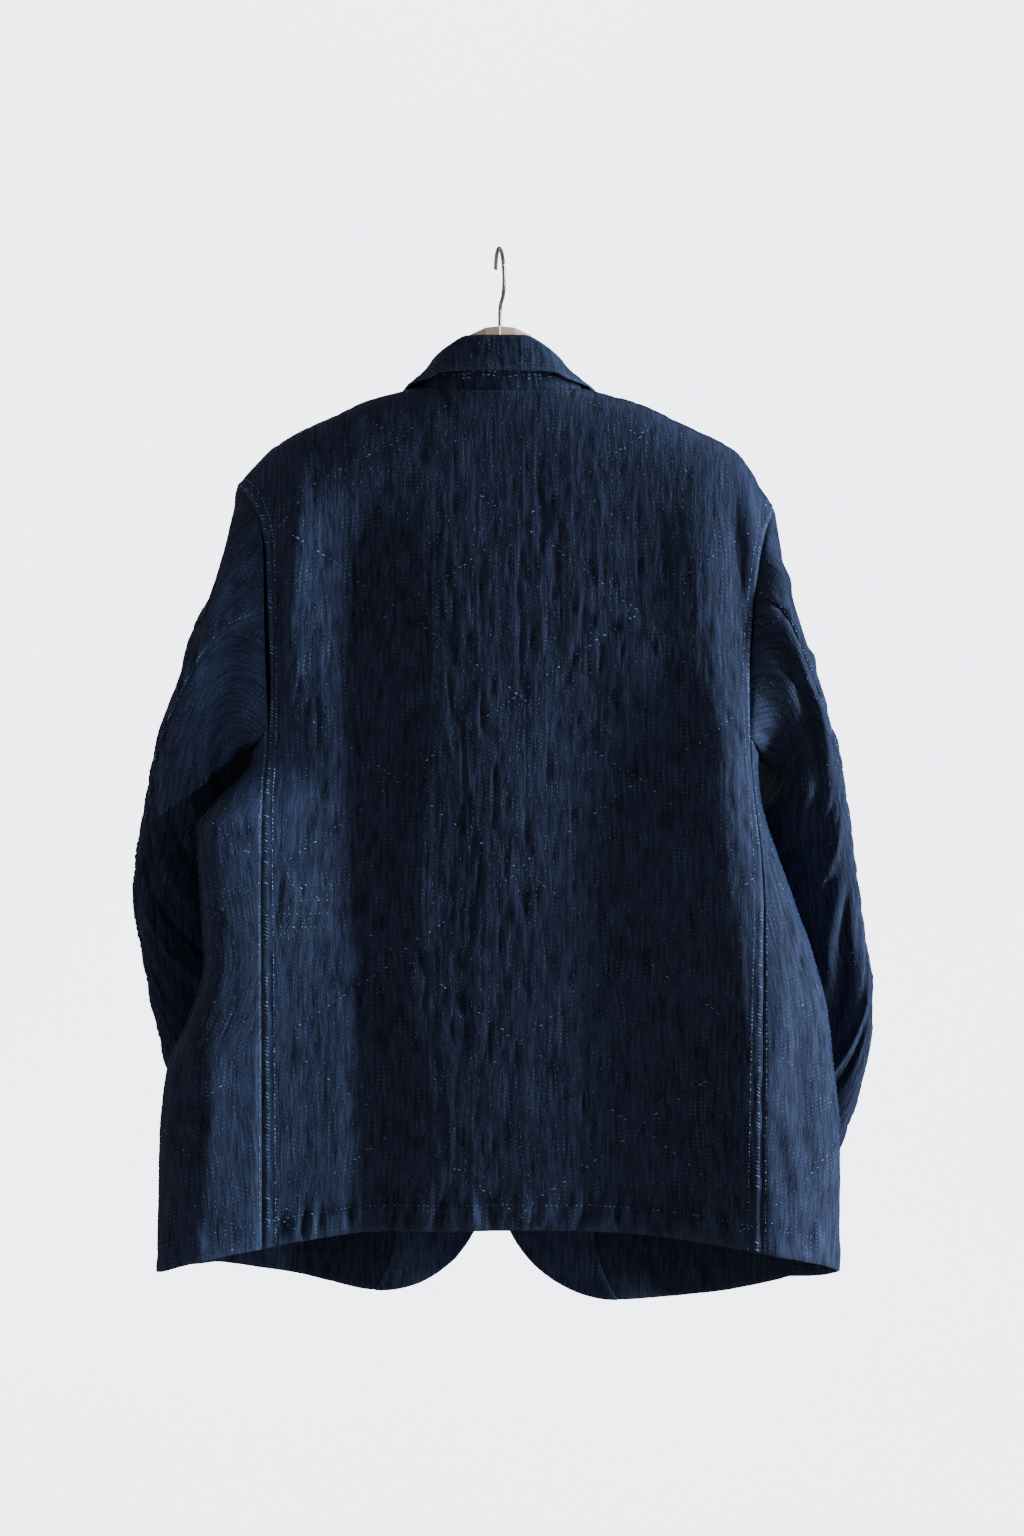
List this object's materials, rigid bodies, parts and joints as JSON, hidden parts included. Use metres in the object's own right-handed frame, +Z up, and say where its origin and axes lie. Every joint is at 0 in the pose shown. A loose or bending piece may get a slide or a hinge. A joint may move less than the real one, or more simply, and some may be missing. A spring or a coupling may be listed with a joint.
{
  "type": "quilted jacket on a hanger",
  "caption": "Worn indigo jacket quilted with running stitches, open at the front and hanging on a wooden hanger with a steel hook.",
  "frame": {"origin": "inside top of the hook, where a rail or peg holds it", "axes": "+Z up, -Y the way the jacket's fronts face, +X to the wearer's left"},
  "size_m": [0.6383, 0.2228, 0.9058],
  "materials": {
    "indigo_cloth": "matt quilted cotton, faded along the ridges",
    "facing_cloth": "matt plain cotton",
    "dark_horn": "smooth, dark as horn",
    "pale_wood": "smooth, satin",
    "hook_steel": "bright wire"
  },
  "bodies": {
    "root": {"back": "indigo_cloth", "side_body_left": "indigo_cloth", "side_body_right": "indigo_cloth", "front_left": "indigo_cloth", "front_right": "indigo_cloth", "facing_left": "facing_cloth", "facing_right": "facing_cloth", "lapel_left": "indigo_cloth", "lapel_right": "indigo_cloth", "collar": "indigo_cloth", "top_sleeve_left": "indigo_cloth", "top_sleeve_right": "indigo_cloth", "under_sleeve_left": "indigo_cloth", "under_sleeve_right": "indigo_cloth", "button_1": "dark_horn", "button_2": "dark_horn", "button_3": "dark_horn", "hanger_arm_left": "pale_wood", "hanger_arm_right": "pale_wood", "hook": "hook_steel"}
  },
  "joints": []
}
